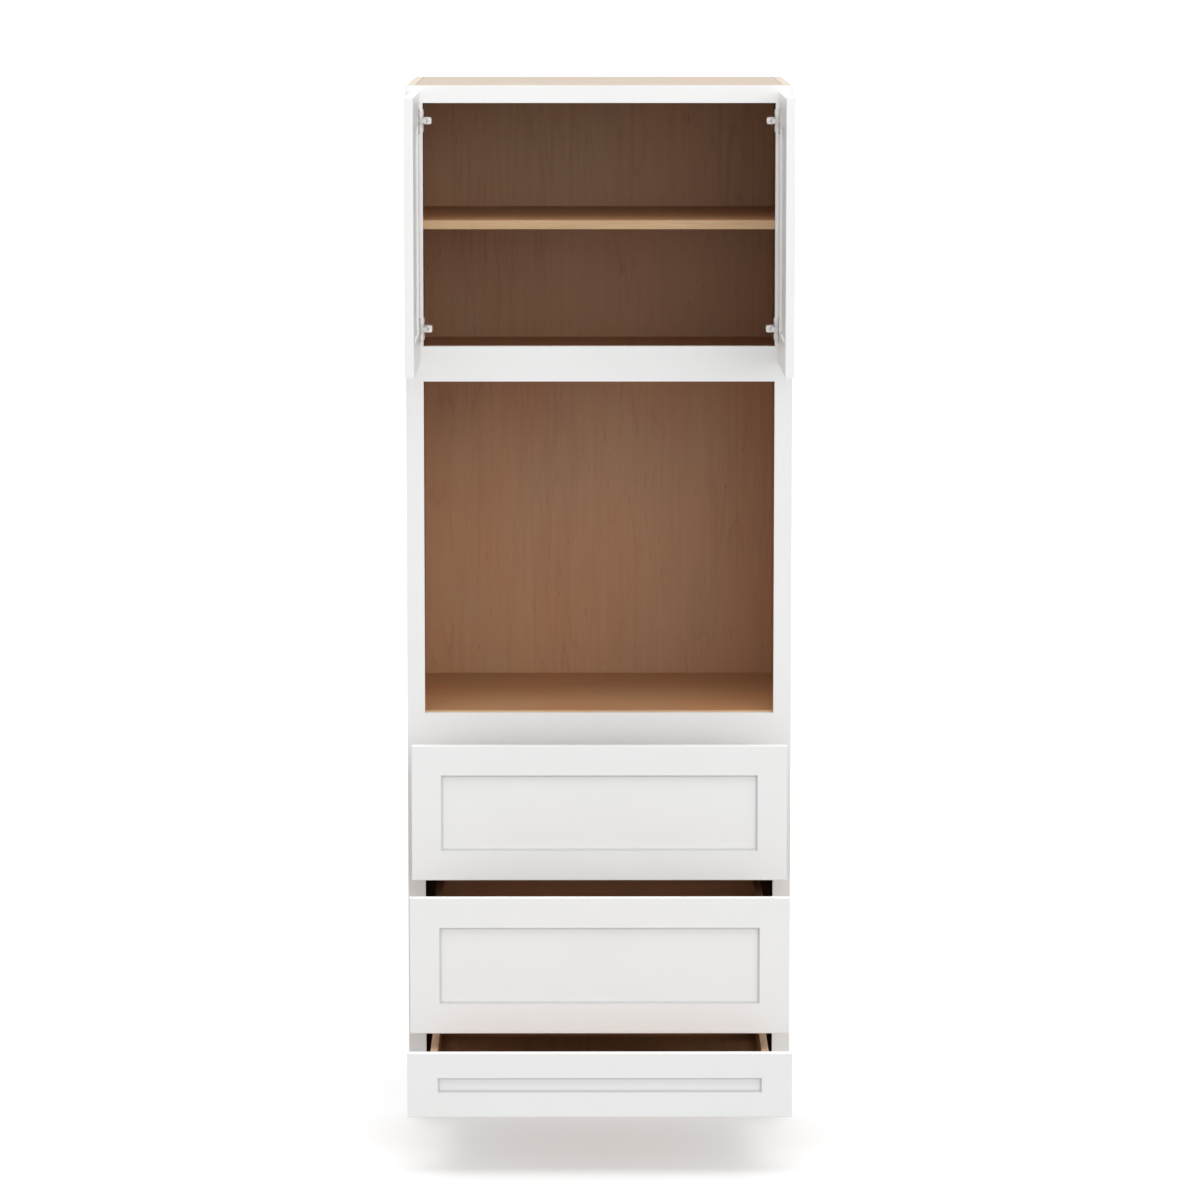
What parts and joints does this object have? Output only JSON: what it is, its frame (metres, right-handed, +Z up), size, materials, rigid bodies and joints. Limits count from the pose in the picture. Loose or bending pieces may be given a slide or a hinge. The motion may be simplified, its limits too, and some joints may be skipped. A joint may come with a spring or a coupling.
{
  "type": "tall oven cabinet",
  "caption": "Tall kitchen cabinet for a built-in oven: a compartment with a shelf behind framed doors, an open oven bay and drawers with framed fronts, on a toe kick.",
  "frame": {"origin": "where the wall meets the floor, at the middle of the cabinet's width", "axes": "+X to the right seen from the front, +Y towards the wall behind, +Z up"},
  "size_m": [0.8382, 1.0917, 2.286],
  "materials": {
    "white_paint": "satin white paint",
    "side_panel": "white paint outside, maple veneer inside",
    "maple_veneer": "clear satin lacquer",
    "drawer_maple": "clear satin lacquer",
    "zinc_steel": "zinc plated",
    "nickel_steel": "nickel plated",
    "grey_plastic": "moulded"
  },
  "bodies": {
    "cabinet": {"left_side_panel": "side_panel", "right_side_panel": "side_panel", "top_panel": "maple_veneer", "upper_compartment_floor": "maple_veneer", "oven_floor": "maple_veneer", "bottom_panel": "maple_veneer", "back_panel": "maple_veneer", "toe_kick": "white_paint", "adjustable_shelf": "maple_veneer", "shelf_pins": "nickel_steel", "left_frame_stile": "white_paint", "right_frame_stile": "white_paint", "top_frame_rail": "white_paint", "upper_oven_rail": "white_paint", "lower_oven_rail": "white_paint", "drawer_frame_rails": "white_paint", "bottom_frame_rail": "white_paint", "hinge_plates": "nickel_steel", "hinge_arms": "nickel_steel", "hinge_pins": "nickel_steel", "slide_cabinet_rails": "zinc_steel", "slide_rear_brackets": "grey_plastic", "mounting_screws": "zinc_steel"},
    "left_door": {"left_door_stiles": "white_paint", "left_door_rails": "white_paint", "left_door_panel": "white_paint", "left_hinge_cups": "nickel_steel", "left_cup_screws": "nickel_steel"},
    "right_door": {"right_door_stiles": "white_paint", "right_door_rails": "white_paint", "right_door_panel": "white_paint", "right_hinge_cups": "nickel_steel", "right_cup_screws": "nickel_steel"},
    "upper_drawer": {"upper_drawer_front_stiles": "white_paint", "upper_drawer_front_rails": "white_paint", "upper_drawer_front_panel": "white_paint", "upper_drawer_box_sides": "drawer_maple", "upper_drawer_box_ends": "drawer_maple", "upper_drawer_box_bottom": "drawer_maple", "upper_drawer_runners": "zinc_steel", "upper_drawer_catches": "grey_plastic"},
    "upper_drawer_slides": {"upper_drawer_middle_rails": "zinc_steel"},
    "middle_drawer": {"middle_drawer_front_stiles": "white_paint", "middle_drawer_front_rails": "white_paint", "middle_drawer_front_panel": "white_paint", "middle_drawer_box_sides": "drawer_maple", "middle_drawer_box_ends": "drawer_maple", "middle_drawer_box_bottom": "drawer_maple", "middle_drawer_runners": "zinc_steel", "middle_drawer_catches": "grey_plastic"},
    "middle_drawer_slides": {"middle_drawer_middle_rails": "zinc_steel"},
    "lower_drawer": {"lower_drawer_front_stiles": "white_paint", "lower_drawer_front_rails": "white_paint", "lower_drawer_front_panel": "white_paint", "lower_drawer_box_sides": "drawer_maple", "lower_drawer_box_ends": "drawer_maple", "lower_drawer_box_bottom": "drawer_maple", "lower_drawer_runners": "zinc_steel", "lower_drawer_catches": "grey_plastic"},
    "lower_drawer_slides": {"lower_drawer_middle_rails": "zinc_steel"}
  },
  "joints": [
    {"name": "left_door_hinge", "type": "hinge", "parent": "cabinet", "child": "left_door", "pos_m": [-0.39765, -0.62215, 1.985], "axis": [0, 0, -1], "range_deg": [-90, 15]},
    {"name": "right_door_hinge", "type": "hinge", "parent": "cabinet", "child": "right_door", "pos_m": [0.39765, -0.62215, 1.985], "axis": [0, 0, 1], "range_deg": [-90, 15]},
    {"name": "upper_drawer_slide", "type": "slide", "parent": "cabinet", "child": "upper_drawer", "axis": [0, -1, 0], "range_m": [-0.12, 0.4134]},
    {"name": "upper_middle_rail_slide", "type": "slide", "parent": "cabinet", "child": "upper_drawer_slides", "axis": [0, -1, 0], "range_m": [-0.06, 0.2067]},
    {"name": "middle_drawer_slide", "type": "slide", "parent": "cabinet", "child": "middle_drawer", "axis": [0, -1, 0], "range_m": [-0.292, 0.2414]},
    {"name": "middle_middle_rail_slide", "type": "slide", "parent": "cabinet", "child": "middle_drawer_slides", "axis": [0, -1, 0], "range_m": [-0.146, 0.1207]},
    {"name": "lower_drawer_slide", "type": "slide", "parent": "cabinet", "child": "lower_drawer", "axis": [0, -1, 0], "range_m": [-0.46, 0.0734]},
    {"name": "lower_middle_rail_slide", "type": "slide", "parent": "cabinet", "child": "lower_drawer_slides", "axis": [0, -1, 0], "range_m": [-0.23, 0.0367]}
  ],
  "couplings": [
    {"joint": "upper_middle_rail_slide", "follows": "upper_drawer_slide", "ratio": 0.5},
    {"joint": "middle_middle_rail_slide", "follows": "middle_drawer_slide", "ratio": 0.5},
    {"joint": "lower_middle_rail_slide", "follows": "lower_drawer_slide", "ratio": 0.5}
  ]
}
